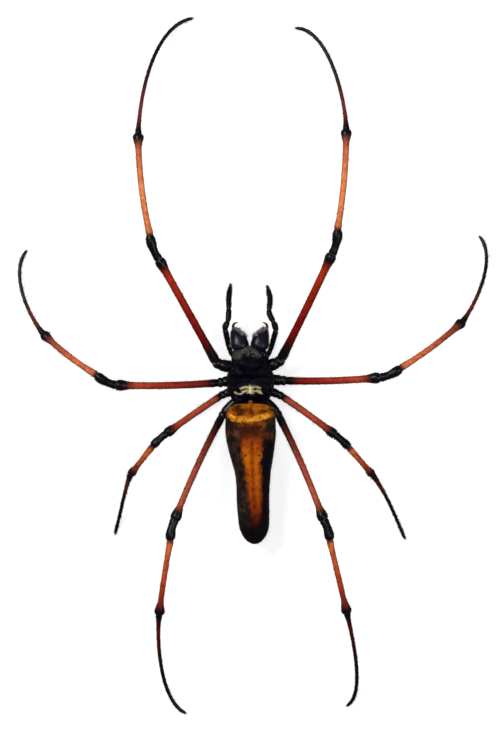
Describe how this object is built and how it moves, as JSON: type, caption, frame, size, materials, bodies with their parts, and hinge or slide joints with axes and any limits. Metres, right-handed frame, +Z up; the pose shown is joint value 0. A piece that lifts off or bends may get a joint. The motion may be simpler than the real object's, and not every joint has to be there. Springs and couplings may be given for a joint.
{
  "type": "golden silk orb weaver, adult female, life-size still model",
  "caption": "Life-size still model of a long-legged orb-weaving spider, standing with its legs spread, for display in a case or on a flat shelf.",
  "frame": {"origin": "on the floor, below the middle of the leg spread", "axes": "+Z up from the floor, +Y towards the head, +X towards the animal's right side"},
  "size_m": [0.1083, 0.1606, 0.0155],
  "materials": {
    "shell": "near-black, softly glossy shell under short hair",
    "jaw": "blue-black, glossy",
    "fang": "polished dark red-brown horn",
    "eye": "polished black, domed",
    "abdomen": "fine leathery skin, amber stripe and gold band on dark brown",
    "joint": "black horn with a grey sheen",
    "femur": "dark red, satin, finely speckled",
    "tibia": "orange red, satin, finely speckled",
    "foot": "dark red at the ankle, black towards the tip, hairy"
  },
  "bodies": {
    "root": {"carapace": "shell", "sternum": "shell", "waist": "shell", "eye_front_middle_left": "eye", "eye_front_middle_right": "eye", "eye_rear_middle_left": "eye", "eye_rear_middle_right": "eye", "eye_front_side_left": "eye", "eye_front_side_right": "eye", "eye_rear_side_left": "eye", "eye_rear_side_right": "eye", "chelicera_left": "jaw", "fang_left": "fang", "palp_left": "shell", "chelicera_right": "jaw", "fang_right": "fang", "palp_right": "shell", "abdomen": "abdomen", "spinnerets": "shell", "leg1_left_coxa": "joint", "leg1_left_femur": "femur", "leg1_left_patella": "joint", "leg1_left_tibia": "tibia", "leg1_left_foot": "foot", "leg1_right_coxa": "joint", "leg1_right_femur": "femur", "leg1_right_patella": "joint", "leg1_right_tibia": "tibia", "leg1_right_foot": "foot", "leg2_left_coxa": "joint", "leg2_left_femur": "femur", "leg2_left_patella": "joint", "leg2_left_tibia": "tibia", "leg2_left_foot": "foot", "leg2_right_coxa": "joint", "leg2_right_femur": "femur", "leg2_right_patella": "joint", "leg2_right_tibia": "tibia", "leg2_right_foot": "foot", "leg3_left_coxa": "joint", "leg3_left_femur": "femur", "leg3_left_patella": "joint", "leg3_left_tibia": "tibia", "leg3_left_foot": "foot", "leg3_right_coxa": "joint", "leg3_right_femur": "femur", "leg3_right_patella": "joint", "leg3_right_tibia": "tibia", "leg3_right_foot": "foot", "leg4_left_coxa": "joint", "leg4_left_femur": "femur", "leg4_left_patella": "joint", "leg4_left_tibia": "tibia", "leg4_left_foot": "foot", "leg4_right_coxa": "joint", "leg4_right_femur": "femur", "leg4_right_patella": "joint", "leg4_right_tibia": "tibia", "leg4_right_foot": "foot"}
  },
  "joints": []
}
